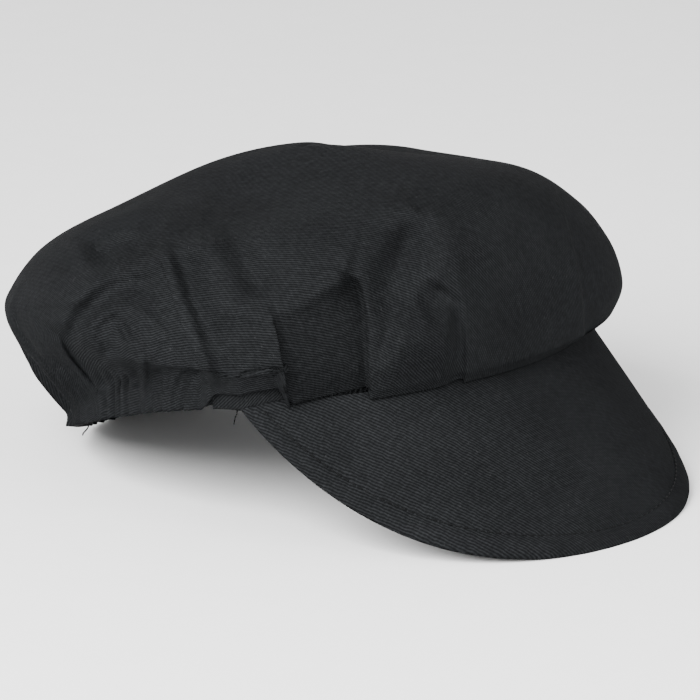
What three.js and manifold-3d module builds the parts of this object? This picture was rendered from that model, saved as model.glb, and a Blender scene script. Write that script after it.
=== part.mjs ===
// A deli cap: a puffed crown, pleated at the front and gathered at the back onto an elastic band, and a
// stiff peak. Millimetres, +Z up, the peak points along -Y. It rests on the peak's front edge and the back
// of its band.
import * as THREE from "three";
import Module from "manifold-3d";

const wasm = await Module();
wasm.setup();

const rad = THREE.MathUtils.degToRad;
const lerp = THREE.MathUtils.lerp;
const smooth = THREE.MathUtils.smoothstep;
const point = (x, y, z) => new THREE.Vector3(x, y, z);

// The peak: a stiff crescent, bent across into an arch and sloping down to the front
const peak = {
  depth: 63.4, // from the middle of the front seam, down the slope
  halfWidth: 97, // half of its width, measured along the arch
  archRadius: 80.4,
  slope: rad(45.5),
  seamHeight: 44.9,
  sideRound: 1.96, // exponents of the outer edge
  frontRound: 1.46,
  thickness: 3,
  edgeRound: 2.6, // the thickness narrows over this distance from the outer edge
  columns: 44,
};

// The rim: the seam of band and peak at the front, and the free lower edge of the band behind it
const rim = {
  front: 87.8, // reach of the front seam
  seamHalfWidth: 86.7,
  back: 62.1,
  sideHalfWidth: 80.3,
  sideRound: 2.2,
  backHeight: -0.9, // the back presses a little below where the cap's shape would end
  fall: 1.51, // exponent of the fall from the peak's corner to the back
  cornerEase: 3, // exponent with which the rim leaves the peak's corner
};

// The band: a plain strip inside the front, and a gathered casing with elastic round the back. Bulge is how
// many times further its middle stands out than its lower edge.
const band = { height: 8, thickness: 1.8, foot: 0.42, bulge: 1.6, plainEnd: rad(67), plainColumns: 34 };
const gathers = { count: 48, perFold: 3, depth: 0.5, wander: 47, hem: 0.3, hemShift: 0.004 };
const elasticStart = rad(0.25); // behind the end of the plain strip

const gap = 0.35; // between pieces that are sewn together
const cloth = 1.6; // wall of the crown
const ground = -0.5; // what lies below this height is pressed flat where the cap rests
const room = { width: 400, height: 200 }; // larger than the cap

// The crown's sections, low to high: rise is the share of the way up from its lower edge, then come the
// reach to front, side and back, and the heights there
const crownSections = [
  { rise: 0.15, front: 92, side: 86, back: 81, frontHeight: 56.5, sideHeight: 49.5, backHeight: 37 },
  { rise: 0.26, front: 89.5, side: 86, back: 79.5, frontHeight: 71, sideHeight: 58.5, backHeight: 47 },
  { rise: 0.39, front: 83, side: 78, back: 70, frontHeight: 83, sideHeight: 69.5, backHeight: 60 },
  { rise: 0.57, front: 65, side: 62, back: 49, frontHeight: 93, sideHeight: 81, backHeight: 72.5 },
  { rise: 0.78, front: 33, side: 32, back: 24.5, frontHeight: 95.5, sideHeight: 86, backHeight: 86.5 },
];
const apex = point(0, -4.6, 94.3);
// How the crown leaves its lower edge: outward and upward, in front of and behind the two angles
const collar = {
  rise: 0.07,
  frontOut: 2.4,
  backOut: 11,
  frontUp: 4.8,
  backUp: 12.8,
  from: rad(80),
  to: rad(118),
};
const squareness = { front: 0.06, back: 0.01 }; // how far the plan stands out of an oval at its corners
// A swelling of the cloth at the front on the wearer's left
const swell = { angle: rad(-40), spread: rad(24), amount: 5.2, rise: 0.1, riseSpread: 0.17, lowest: 0.06 };
// The crown reaches over the front band. Behind the first angles its edge lifts onto the band's top, and
// behind the second it closes in to the band.
const cover = {
  reach: 2.5,
  onTop: 0.3,
  liftFrom: rad(50),
  liftTo: rad(53.5),
  closeFrom: rad(54.5),
  closeTo: rad(59),
  peakRoom: 8, // how far in front of the seam the crown is kept clear of the peak
};

// Even folds that the elastic draws into the back, dying out upward
const backFolds = { count: 26, depth: 1.5, full: 0.04, top: 0.34, from: rad(100), to: rad(125) };

// Folds. A path runs through points of angle in degrees and rise, and height is in millimetres, outward
// positive. Near and far are widths on the side towards the front and on the other side, and fade is the
// share of the path over which the fold dies out at its start and end. A step keeps its height on the far
// side of its sharp edge. A pocket is a panel pushed in between its path and its end, up to its top.
// Pair is the share of its height that its copy on the cap's other side has.
const folds = [
  // First pleat, on the wearer's right, with two small tents behind it
  {
    path: [[21.2, 0], [20.3, 0.15], [20, 0.28], [21.5, 0.395], [20, 0.535]],
    kind: "step", height: -3.4, near: 0.8, far: 10, fade: [0, 0.45], pair: 0,
  },
  {
    path: [[19.5, 0.03], [19, 0.3], [19.5, 0.5]],
    kind: "ridge", height: 1.2, near: 9, far: 2.5, fade: [0, 0.4], pair: 0,
  },
  {
    path: [[20, 0.56], [33, 0.445], [40.5, 0.385]],
    kind: "ridge", height: 3, near: 5, far: 6, fade: [0.25, 0.1], pair: 0.2,
  },
  {
    path: [[21.5, 0.51], [29, 0.39], [35, 0.27], [38, 0.2]],
    kind: "ridge", height: -5, near: 3.8, far: 4.6, fade: [0.25, 0.35], pair: 0.25,
  },
  {
    path: [[22.5, 0.3], [29.5, 0.292]],
    kind: "ridge", height: -4, near: 5, far: 5, fade: [0.3, 0.4], pair: 0.7,
  },
  {
    path: [[21.5, 0.338], [31, 0.295], [38, 0.215]],
    kind: "ridge", height: 2.4, near: 3.2, far: 3.2, fade: [0.1, 0.4], pair: 0.4,
  },
  {
    path: [[25, 0.17], [34, 0.15]],
    kind: "ridge", height: 4.5, near: 9, far: 8, fade: [0.3, 0.3], pair: 0.3,
  },
  // First pleat on the wearer's left
  {
    path: [[-14, 0], [-12, 0.2], [-12.5, 0.3], [-18, 0.4], [-36, 0.5]],
    kind: "step", height: 1.6, near: 0.8, far: 10, fade: [0, 0.35], pair: 0,
  },
  // The cloth hangs low over the peak's corner on the wearer's left
  {
    path: [[-26, 0.07], [-40, 0.06], [-54, 0.07]],
    kind: "ridge", height: 3.2, near: 5, far: 7, fade: [0.35, 0.3], pair: 0,
  },
  // Second pleat, pushed in as a panel, and the third pleat's edge beyond it
  {
    kind: "pocket",
    path: [[41.5, 0], [40, 0.175], [39.5, 0.32], [40.5, 0.42]],
    end: [[52, 0], [53.5, 0.15], [53.5, 0.25], [55, 0.31], [57, 0.42]],
    top: [[40, 0.385], [55, 0.31]], height: -5, near: 0.8, far: 3, fade: [0, 0], pair: 0.8,
  },
  {
    path: [[38.2, 0.03], [37.5, 0.3], [38.5, 0.4]],
    kind: "ridge", height: 1.6, near: 6, far: 2, fade: [0, 0.2], pair: 0.4,
  },
  {
    path: [[39.5, 0.41], [48, 0.385], [57, 0.325]],
    kind: "ridge", height: 2.6, near: 7, far: 4.5, fade: [0.1, 0.2], pair: 0.3,
  },
  {
    path: [[55.5, 0.03], [56, 0.2], [57, 0.31], [60, 0.4]],
    kind: "ridge", height: 2.2, near: 2, far: 10, fade: [0.05, 0.3], pair: 0.6,
  },
  {
    path: [[57.5, 0.38], [60.5, 0.46], [66, 0.57], [75, 0.68]],
    kind: "ridge", height: -2.2, near: 5, far: 5, fade: [0.3, 0.5], pair: 0.8,
  },
  // The bulge and soft fold beyond the pleats
  {
    path: [[60.5, 0.15], [61.5, 0.28], [65, 0.4], [72, 0.53]],
    kind: "ridge", height: 2.6, near: 9, far: 9, fade: [0.3, 0.4], pair: 1,
  },
  {
    path: [[66.5, 0.1], [55, 0.12]],
    kind: "ridge", height: -2.6, near: 4, far: 4, fade: [0.2, 0.2], pair: 1,
  },
  {
    path: [[84, 0.58], [77, 0.47], [72, 0.365], [68, 0.275], [66, 0.15]],
    kind: "ridge", height: -3.4, near: 4, far: 3.4, fade: [0.25, 0.3], pair: 1,
  },
  {
    path: [[67, 0.03], [68, 0.145], [71, 0.27], [76, 0.38], [84, 0.514], [88.5, 0.62]],
    kind: "ridge", height: 4.2, near: 3.6, far: 4.2, fade: [0.1, 0.3], pair: 1,
  },
  {
    path: [[87, 0.56], [91, 0.68], [82, 0.72], [69, 0.67], [61, 0.53]],
    kind: "ridge", height: -1.8, near: 5, far: 5, fade: [0.3, 0.3], pair: 0.8,
  },
  // The hollow above the gathers and the fold that runs round them
  {
    path: [[108, 0.46], [97, 0.495], [87, 0.5], [82, 0.45]],
    kind: "ridge", height: -7.5, near: 7, far: 7, fade: [0.3, 0.3], pair: 0.8,
  },
  {
    path: [[106, 0.17], [101, 0.255], [97, 0.335], [91, 0.4], [81, 0.445]],
    kind: "ridge", height: 4.4, near: 5, far: 6, fade: [0.2, 0.2], pair: 0.8,
  },
  {
    path: [[97, 0.19], [93, 0.28], [86, 0.35]],
    kind: "ridge", height: -3.5, near: 5, far: 5, fade: [0.3, 0.3], pair: 0.8,
  },
  {
    path: [[109, 0.2], [112, 0.1], [128, 0.05]],
    kind: "ridge", height: 2.4, near: 3, far: 12, fade: [0.3, 0.3], pair: 0.8,
  },
  // Single folds among the gathers
  {
    path: [[97.5, 0], [93, 0.135], [92.5, 0.25]],
    kind: "ridge", height: 2.6, near: 2.4, far: 2.4, fade: [0.1, 0.5], pair: 0.8,
  },
  {
    path: [[87.5, 0], [84, 0.165], [84.5, 0.275]],
    kind: "ridge", height: 2.8, near: 2.6, far: 2.6, fade: [0.1, 0.5], pair: 0.8,
  },
  {
    path: [[81.5, 0], [80.5, 0.175], [82.5, 0.29]],
    kind: "ridge", height: 2.2, near: 2, far: 2, fade: [0.1, 0.4], pair: 0.8,
  },
  {
    path: [[79, 0], [76, 0.21], [79, 0.285]],
    kind: "ridge", height: 2, near: 2.4, far: 2.4, fade: [0.1, 0.5], pair: 0.8,
  },
  {
    path: [[72, 0], [72.5, 0.245], [76.5, 0.28]],
    kind: "ridge", height: 2.2, near: 2.6, far: 2.6, fade: [0.1, 0.5], pair: 0.8,
  },
];

// The crown's columns: how many lie between each guide and the next, and where each guide runs
const guides = [
  { columns: 15, path: [[-180, 0], [-180, 1]] },
  { columns: 14, path: [[-108, 0], [-108, 1]] },
  { columns: 1, path: [[-53.4, 0], [-53.4, 0.3], [-57.5, 0.42], [-60, 1]] },
  { columns: 6, path: [[-52.6, 0], [-52.6, 0.3], [-56.5, 0.42], [-59, 1]] },
  { columns: 1, path: [[-41.3, 0], [-39.6, 0.2], [-40, 0.42], [-42, 1]] },
  { columns: 8, path: [[-40.3, 0], [-38.6, 0.2], [-39, 0.42], [-41, 1]] },
  { columns: 1, path: [[-14.5, 0], [-12.5, 0.2], [-13, 0.3], [-18.5, 0.4], [-22, 0.5], [-18, 1]] },
  { columns: 7, path: [[-13.5, 0], [-11.5, 0.2], [-12, 0.3], [-17.5, 0.4], [-21, 0.5], [-17, 1]] },
  { columns: 1, path: [[20.7, 0], [19.8, 0.15], [19.5, 0.28], [21, 0.395], [19.5, 0.535], [20, 1]] },
  { columns: 9, path: [[21.7, 0], [20.8, 0.15], [20.5, 0.28], [22, 0.395], [20.5, 0.535], [21, 1]] },
  { columns: 1, path: [[41, 0], [39.5, 0.175], [39, 0.32], [40, 0.42], [42, 1]] },
  { columns: 6, path: [[42, 0], [40.5, 0.175], [40, 0.32], [41, 0.42], [43, 1]] },
  { columns: 1, path: [[51.5, 0], [53, 0.15], [53, 0.25], [54.5, 0.31], [57, 0.42], [60, 1]] },
  { columns: 8, path: [[52.5, 0], [54, 0.15], [54, 0.25], [55.5, 0.31], [58, 0.42], [61, 1]] },
  { columns: 20, path: [[67, 0], [68, 0.145], [71, 0.27], [76, 0.38], [84, 0.514], [84, 1]] },
  { columns: 14, path: [[108, 0], [108, 1]] },
  { columns: 0, path: [[180, 0], [180, 1]] },
];
const crownRows = 19;
const rowsLow = 1.2; // exponent that sets the rows closer together near the lower edge
const innerSoftness = 3; // how much wider a sharp edge is on the inner face

// Height of the peak's upper face above a point in plan
function peakHeight(x, y) {
  const arch = peak.archRadius - Math.sqrt(peak.archRadius ** 2 - x ** 2);
  return peak.seamHeight + (y + rim.front) * Math.tan(peak.slope) - arch;
}

// Height at which something is just clear of the peak's upper face
function clearHeight(x, y) {
  const across = x / Math.sqrt(peak.archRadius ** 2 - x ** 2);
  return peakHeight(x, y) + gap * Math.hypot(1, across, Math.tan(peak.slope));
}

// Where the peak's corner meets the rim
const cornerX = peak.archRadius * Math.sin(peak.halfWidth / peak.archRadius);
const cornerAngle = Math.asin(cornerX / rim.seamHalfWidth);
const cornerY = -rim.front * Math.cos(cornerAngle);
const cornerHeight = peakHeight(cornerX, cornerY);

// A point of the rim. The angle runs from 0 at the front to +-pi at the back, positive on the wearer's
// right.
function rimPoint(angle) {
  const wrapped = Math.atan2(Math.sin(angle), Math.cos(angle));
  const turn = Math.abs(wrapped);
  const side = -Math.sign(wrapped);
  if (turn <= cornerAngle) {
    const x = rim.seamHalfWidth * Math.sin(turn);
    const y = -rim.front * Math.cos(turn);
    return point(side * x, y, peakHeight(x, y));
  }
  const share = (turn - cornerAngle) / (Math.PI - cornerAngle);
  const along = Math.min(Math.sin((share * Math.PI) / 2), 1);
  const nearCorner = (1 - along) ** rim.cornerEase;
  const round = rim.sideHalfWidth * Math.sqrt(1 - along ** rim.sideRound);
  const x = lerp(round, cornerX, nearCorner);
  const y = lerp(cornerY, rim.back, along);
  return point(side * x, y, lerp(cornerHeight, rim.backHeight, along ** rim.fall));
}

const flatOutward = (p) => point(p.x, p.y, 0).normalize();

// Piecewise linear value of a path of angle and rise
function pathAngle(path, rise) {
  let i = 0;
  while (i < path.length - 2 && rise > path[i + 1][1]) i++;
  const [[a0, r0], [a1, r1]] = [path[i], path[i + 1]];
  return lerp(a0, a1, Math.min(Math.max((rise - r0) / (r1 - r0), 0), 1));
}

// Slope of a cubic through uneven knots
function knotSlope(knots, values, k) {
  return (values[k + 1] - values[k - 1]) / (knots[k + 1] - knots[k - 1]);
}

// Cubic interpolation through values at uneven knots
function spline(knots, values, t) {
  let i = 1;
  while (i < knots.length - 3 && t > knots[i + 1]) i++;
  const span = knots[i + 1] - knots[i];
  const s = (t - knots[i]) / span;
  const [leave, arrive] = [i, i + 1].map((k) => span * knotSlope(knots, values, k));
  const start = (1 + 2 * s) * (1 - s) ** 2 * values[i] + s * (1 - s) ** 2 * leave;
  const end = s * s * (3 - 2 * s) * values[i + 1] + s * s * (s - 1) * arrive;
  return start + end;
}

// A point of one crown section
function sectionPoint(section, angle) {
  const c = Math.cos(angle);
  const front = c > 0;
  const reach = front ? section.front : section.back;
  const height = front ? section.frontHeight : section.backHeight;
  const out = 1 + (front ? squareness.front : squareness.back) * Math.sin(2 * angle) ** 2;
  const x = -section.side * out * Math.sin(angle);
  return point(x, -reach * out * c, lerp(section.sideHeight, height, c * c));
}

// The crown's lower edge: over the band and down to the peak at the front, on top of the band behind
function crownEdge(angle) {
  const p = rimPoint(angle);
  const turn = Math.abs(angle);
  const out = lerp(cover.reach, cover.onTop, smooth(turn, cover.closeFrom, cover.closeTo));
  const edge = p.clone().addScaledVector(flatOutward(p), out);
  const low = turn < cover.liftTo ? clearHeight(edge.x, edge.y) : 0;
  edge.z = lerp(low, p.z + band.height + gap, smooth(turn, cover.liftFrom, cover.liftTo));
  return edge;
}

// The crown before its folds
const lastSection = crownSections[crownSections.length - 1];
const sectionRises = crownSections.map((s) => s.rise);
const crownRises = [-collar.rise, 0, collar.rise, ...sectionRises, 1, 2 - lastSection.rise];
function crownBase(angle, rise) {
  const edge = crownEdge(angle);
  const behind = smooth(Math.abs(angle), collar.from, collar.to);
  const out = lerp(collar.frontOut, collar.backOut, behind);
  const up = lerp(collar.frontUp, collar.backUp, behind);
  const first = edge.clone().addScaledVector(flatOutward(edge), out).add(point(0, 0, up));
  const before = edge.clone().multiplyScalar(2).sub(first);
  const rings = crownSections.map((s) => sectionPoint(s, angle));
  const points = [before, edge, first, ...rings, apex, sectionPoint(lastSection, angle + Math.PI)];
  const p = point(...["x", "y", "z"].map((axis) => spline(crownRises, points.map((q) => q[axis]), rise)));
  const aside = (angle - swell.angle) / swell.spread;
  const above = (rise - swell.rise) / swell.riseSpread;
  const swollen = swell.amount * Math.exp(-(aside ** 2 + above ** 2)) * smooth(rise, 0, swell.lowest);
  return p.add(point(-Math.sin(angle) * swollen, -Math.cos(angle) * swollen, 0));
}

// Outward direction of the crown before its folds
function crownNormal(angle, rise) {
  const step = 0.004;
  const r = Math.min(rise, 1 - 2 * step);
  const around = crownBase(angle + step, r).sub(crownBase(angle - step, r));
  const up = crownBase(angle, r + step).sub(crownBase(angle, Math.max(r - step, 0)));
  return up.cross(around).normalize();
}

// Points along a fold's path on the crown
const traceSteps = 16;
const traceTension = 0.5;
function tracePath(path) {
  const points = path.map(([angle, rise]) => point(angle, rise, 0));
  const curve = new THREE.CatmullRomCurve3(points, false, "catmullrom", traceTension);
  return curve.getPoints(traceSteps).map((p) => crownBase(rad(p.x), Math.max(p.y, 0)));
}

// The other side's copy of a fold
function pairOf(fold) {
  const turned = (path) => path?.map(([angle, rise]) => [-angle, rise]);
  const both = { ...fold, path: turned(fold.path), end: turned(fold.end), top: turned(fold.top) };
  return { ...both, height: fold.height * fold.pair };
}

const allFolds = [...folds, ...folds.filter((fold) => fold.pair > 0).map(pairOf)];
for (const fold of allFolds) {
  fold.side = Math.sign(fold.path[1][0]);
  fold.trace = tracePath(fold.path);
}

// Share of a fold left at a place along it
function fadeAt([start, end], along) {
  return (start ? smooth(along, 0, start) : 1) * (end ? smooth(1 - along, 0, end) : 1);
}

// How far a ridge or step moves a point of the crown. Softness widens its sharp edge.
function ridgeHeight(fold, p, normal, softness) {
  const { trace } = fold;
  let best = { distance: Infinity };
  for (let i = 0; i < trace.length - 1; i++) {
    const run = trace[i + 1].clone().sub(trace[i]);
    const length = run.length();
    run.divideScalar(length);
    const from = p.clone().sub(trace[i]);
    const along = Math.min(Math.max(from.dot(run), 0), length);
    from.addScaledVector(run, -along);
    const distance = from.length();
    if (distance < best.distance) {
      best = { distance, share: (i + along / length) / (trace.length - 1), run, from };
    }
  }
  if (best.distance > 3 * Math.max(fold.near, fold.far)) return 0;
  const side = Math.sign(best.run.cross(best.from).dot(normal)) * fold.side;
  const s = side * best.distance;
  const fade = fadeAt(fold.fade, best.share);
  if (fold.kind === "ridge") {
    const width = s > 0 ? fold.far : fold.near;
    return fold.height * Math.exp(-((s / width) ** 2)) * fade;
  }
  const edge = fold.near * softness;
  const kept = Math.exp(-((Math.max(s, 0) / fold.far) ** 2));
  return fold.height * smooth(s, -edge, edge) * kept * fade;
}

// How far a pocket moves a point of the crown
function pocketHeight(fold, angle, rise, softness) {
  const degrees = THREE.MathUtils.radToDeg(angle) * fold.side;
  const perDegree = 1.5; // millimetres round the crown
  const perRise = 135; // and up it
  const edge = fold.near * softness;
  const start = (degrees - pathAngle(fold.path, rise) * fold.side) * perDegree;
  const end = (pathAngle(fold.end, rise) * fold.side - degrees) * perDegree;
  const [[a0, r0], [a1, r1]] = fold.top.map(([a, r]) => [a * fold.side, r]);
  const top = (lerp(r0, r1, (degrees - a0) / (a1 - a0)) - rise) * perRise;
  const within = smooth(start, -edge, edge) * smooth(end, -edge, edge);
  return fold.height * within * smooth(top, -fold.far, fold.far);
}

// All folds together at a point of the crown. They start this far above its lower edge.
const inwardStart = 0.14;
const outwardStart = 0.05;
function relief(angle, rise, p, normal, softness) {
  const behind = smooth(Math.abs(angle), backFolds.from, backFolds.to);
  const low = 1 - smooth(rise, backFolds.full, backFolds.top);
  let sum = backFolds.depth * behind * low * Math.cos(angle * backFolds.count);
  for (const fold of allFolds) {
    if (fold.kind === "pocket") sum += pocketHeight(fold, angle, rise, softness);
    else sum += ridgeHeight(fold, p, normal, softness);
  }
  return sum * smooth(rise, 0, sum < 0 ? inwardStart : outwardStart);
}

// Keeps the crown's lower edge clear of the peak
function abovePeak(p) {
  const over = p.y < cornerY && Math.abs(p.x) < cornerX && p.y > -rim.front - cover.peakRoom;
  if (over) p.z = Math.max(p.z, clearHeight(p.x, p.y));
  return p;
}

// A mesh from points and triples of their numbers
function meshOf(points, triangles) {
  const geometry = new THREE.BufferGeometry();
  const numbers = points.flatMap((p) => p.toArray());
  geometry.setAttribute("position", new THREE.Float32BufferAttribute(numbers, 3));
  geometry.setIndex(triangles.flat());
  return geometry;
}

// A closed skin over a row of loops, with flat ends
function loft(loops) {
  const n = loops[0].length;
  const end = (loops.length - 1) * n;
  const triangles = [];
  for (let i = 0; i < end; i += n) {
    for (let j = 0; j < n; j++) {
      const k = (j + 1) % n;
      triangles.push([i + j, i + n + k, i + n + j], [i + j, i + k, i + n + k]);
    }
  }
  for (let j = 1; j < n - 1; j++) {
    triangles.push([0, j + 1, j], [end, end + j, end + j + 1]);
  }
  return meshOf(loops.flat(), triangles);
}

// The crown: its outer face with all folds, and its inner face a cloth's thickness behind
function crownGeometry() {
  const columns = guides.reduce((sum, guide) => sum + guide.columns, 0);
  const outer = [];
  const inner = [];
  for (let i = 0; i < crownRows; i++) {
    const rise = (i / crownRows) ** rowsLow;
    for (let g = 0; g < guides.length - 1; g++) {
      for (let c = 0; c < guides[g].columns; c++) {
        const share = c / guides[g].columns;
        const ends = [guides[g], guides[g + 1]].map((guide) => pathAngle(guide.path, rise));
        const angle = rad(lerp(...ends, share));
        const p = crownBase(angle, rise);
        const normal = crownNormal(angle, rise);
        const sharp = relief(angle, rise, p, normal, 1);
        const soft = Math.min(sharp, relief(angle, rise, p, normal, innerSoftness)) - cloth;
        outer.push(abovePeak(p.clone().addScaledVector(normal, sharp)));
        inner.push(abovePeak(p.clone().addScaledVector(normal, soft)));
      }
    }
  }
  outer.push(apex);
  inner.push(apex.clone().sub(point(0, 0, cloth)));
  const triangles = [];
  const under = outer.length;
  for (let j = 0; j < columns; j++) {
    const k = (j + 1) % columns;
    for (let i = 0; i < crownRows - 1; i++) {
      const [a, b] = [i * columns + j, i * columns + k];
      const [c, d] = [b + columns, a + columns];
      triangles.push([a, c, b], [a, d, c]);
      triangles.push([under + a, under + b, under + c], [under + a, under + c, under + d]);
    }
    const top = crownRows * columns;
    const [a, b] = [top - columns + j, top - columns + k];
    triangles.push([a, top, b], [under + a, under + b, under + top]);
    triangles.push([j, k, under + k], [j, under + k, under + j]);
  }
  return meshOf([...outer, ...inner], triangles);
}

// A point on the peak's upper face, by distance across the arch and down the slope
function peakPoint(across, down) {
  const turn = across / peak.archRadius;
  const y = -rim.front - down * Math.cos(peak.slope);
  const z = peak.seamHeight - down * Math.sin(peak.slope) - peak.archRadius * (1 - Math.cos(turn));
  return point(peak.archRadius * Math.sin(turn), y, z);
}

// The peak's section: shares of its length at which its thickness is full, and how it narrows at the edge
const peakFace = [0, 1 / 3, 2 / 3, 1];
const edgeStep = { length: 0.3, thickness: 0.7 };
const shortEdge = 0.4; // the edge takes at most this share of a short section

function peakGeometry() {
  const half = peak.thickness / 2;
  const cornerDown = -(cornerY + rim.front) / Math.cos(peak.slope);
  const loops = [];
  for (let i = 1; i < peak.columns; i++) {
    const across = -peak.halfWidth * Math.cos((i / peak.columns) * Math.PI);
    const share = Math.abs(across / peak.halfWidth);
    const x = peak.archRadius * Math.sin(across / peak.archRadius);
    const y = -rim.front * Math.sqrt(1 - (x / rim.seamHalfWidth) ** 2);
    const inner = -(y + rim.front) / Math.cos(peak.slope);
    const bow = (1 - share ** peak.sideRound) ** (1 / peak.frontRound);
    const length = lerp(cornerDown, peak.depth, bow) - inner;
    const edge = Math.min(peak.edgeRound, length * shortEdge);
    const face = peakFace.map((along) => [(length - edge) * along, half]);
    face.push([length - edge * edgeStep.length, half * edgeStep.thickness]);
    const under = face.map(([down, h]) => [down, -h]).reverse();
    const turn = across / peak.archRadius;
    const [sine, cosine] = [Math.sin(peak.slope), Math.cos(peak.slope)];
    const normal = point(Math.sin(turn) * cosine, -Math.cos(turn) * sine, Math.cos(turn) * cosine);
    normal.normalize();
    const place = ([down, h]) => peakPoint(across, inner + down).addScaledVector(normal, h - half);
    loops.push([...face, [length, 0], ...under].map(place));
  }
  return loft(loops);
}

// A strip standing on the rim between two angles. Shape gives its foot's shift outward and up at a place
// along it.
function stripGeometry(from, to, columns, shape) {
  const loops = [];
  for (let i = 0; i <= columns; i++) {
    const angle = lerp(from, to, i / columns);
    const p = rimPoint(angle);
    const outward = flatOutward(p);
    const { out, foot } = shape(i / columns);
    const corners = [[out, foot], [out * band.bulge, band.height / 2], [0, band.height]];
    const back = [...corners].reverse().map(([o, up]) => [o - band.thickness, up]);
    const place = ([o, up]) => p.clone().addScaledVector(outward, o).add(point(0, 0, up));
    loops.push([...corners, ...back].map(place));
  }
  return loft(loops);
}

function elasticGeometry() {
  const from = band.plainEnd + elasticStart;
  const columns = gathers.count * gathers.perFold;
  function wave(share) {
    return Math.cos(share * gathers.count * 2 * Math.PI + Math.sin(share * gathers.wander));
  }
  function shape(share) {
    return { out: gathers.depth * wave(share), foot: gathers.hem * wave(share + gathers.hemShift) };
  }
  return stripGeometry(from, 2 * Math.PI - from, columns, shape);
}

// What a geometry has in common with the room above the ground, so that its lowest cloth lies flat
function restOnGround(geometry) {
  const air = new THREE.BoxGeometry(room.width, room.width, room.height);
  air.translate(0, 0, room.height / 2 + ground);
  const solids = [geometry, air].map((g) => {
    const mesh = new wasm.Mesh({
      numProp: 3,
      vertProperties: new Float32Array(g.attributes.position.array),
      triVerts: new Uint32Array(g.index.array),
    });
    mesh.merge();
    return new wasm.Manifold(mesh);
  });
  const { vertProperties, triVerts } = solids[0].intersect(solids[1]).getMesh();
  const cut = new THREE.BufferGeometry();
  cut.setAttribute("position", new THREE.Float32BufferAttribute(vertProperties, 3));
  cut.setIndex([...triVerts]);
  return cut;
}

function named(name, geometry) {
  const cotton = new THREE.MeshStandardMaterial({ color: 0x1c1d1f, roughness: 0.85, metalness: 0 });
  const mesh = new THREE.Mesh(geometry, cotton);
  mesh.name = name;
  return mesh;
}

const plain = () => ({ out: 0, foot: band.foot });
const cap = new THREE.Group();
cap.add(named("crown", crownGeometry()));
cap.add(named("peak", restOnGround(peakGeometry())));
cap.add(named("front_band", stripGeometry(-band.plainEnd, band.plainEnd, band.plainColumns, plain)));
cap.add(named("elastic_band", restOnGround(elasticGeometry())));

// The origin is under the middle of the cap, on the ground
const bounds = new THREE.Box3().setFromObject(cap);
const centre = bounds.getCenter(point(0, 0, 0));
cap.position.set(-centre.x, -centre.y, -bounds.min.z);

export default cap;
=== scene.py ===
import math
import bpy
import numpy as np
from mathutils import Matrix, Vector


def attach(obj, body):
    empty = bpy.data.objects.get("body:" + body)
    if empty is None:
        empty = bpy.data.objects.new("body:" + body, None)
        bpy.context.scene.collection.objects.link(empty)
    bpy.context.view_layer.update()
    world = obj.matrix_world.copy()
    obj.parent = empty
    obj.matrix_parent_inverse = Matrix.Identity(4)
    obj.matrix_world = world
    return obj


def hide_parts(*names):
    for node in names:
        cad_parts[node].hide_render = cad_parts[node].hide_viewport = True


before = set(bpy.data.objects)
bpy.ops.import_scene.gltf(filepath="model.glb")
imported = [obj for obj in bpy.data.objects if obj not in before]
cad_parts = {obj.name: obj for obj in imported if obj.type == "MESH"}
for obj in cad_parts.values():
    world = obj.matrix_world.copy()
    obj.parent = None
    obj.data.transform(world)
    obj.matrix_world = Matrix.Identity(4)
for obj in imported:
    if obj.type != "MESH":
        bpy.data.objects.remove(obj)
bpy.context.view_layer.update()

# A deli cap: a puffed crown, pleated in front and gathered behind onto an elastic band, and a stiff peak.
# Shapes are worked out in millimetres with +Z up and the peak along -Y,
# and then moved to the frame's place.
rad = math.radians
SHIFT = np.array([0.3171, 24.6266, 0.5])  # from the shapes' origin to the frame's, in mm
GROUND = -0.5

PEAK = dict(depth=63.4, half=97.0, arch=80.4, slope=rad(45.5), seam=44.9, side=1.96, front=1.46, thick=3.0)
RIM = dict(front=87.8, half=86.7, back=62.1, side=80.3, round=2.2, low=-0.9, fall=1.51)
BAND = dict(height=8.0, thick=1.8, plain_end=rad(67))
GAP = 0.35
CLOTH = 1.6
# The crown's sections: rise, reach to front, side and back, and the heights there
SECTIONS = [
    (0.15, 92, 86, 81, 56.5, 49.5, 37),
    (0.26, 89.5, 86, 79.5, 71, 58.5, 47),
    (0.39, 83, 78, 70, 83, 69.5, 60),
    (0.57, 65, 62, 49, 93, 81, 72.5),
    (0.78, 33, 32, 24.5, 95.5, 86, 86.5),
]
APEX = np.array([0, -4.6, 94.3])
COLLAR = dict(rise=0.07, front_out=2.4, back_out=11, front_up=4.8, back_up=12.8, start=rad(94), end=rad(122))
SQUARENESS = (0.06, 0.01)
SWELL = dict(angle=rad(-40), spread=rad(24), amount=5.2, rise=0.1, rise_spread=0.17, clear=0.06)
# Behind the peak, the crown's edge hangs over the plain band, down to the wedge height above the rim. Further
# back it is drawn in, and runs down over the elastic band as a gathered hem.
HEM = dict(
    drawn=(rad(65.5), rad(69.5)), out=2.2, low=0.3, height=7.0, rise=0.035, inset=1.4,
    wedge=4.9, wedge_out=1.5, wedge_up=2.4, hangs=(rad(50), rad(58)), overhang=1.6,
)
COVER = dict(reach=2.5, lift=(rad(50), rad(53.5)), close=(rad(54.5), rad(59)))


def smooth(x, a, b):
    t = np.clip((x - a) / (b - a), 0, 1)
    return t * t * (3 - 2 * t)


def mix(a, b, t):
    return a + (b - a) * t


def unit(v):
    return v / np.maximum(np.linalg.norm(v, axis=-1, keepdims=True), 1e-9)


def stack(x, y, z):
    return np.stack(np.broadcast_arrays(x, y, z), -1)


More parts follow.
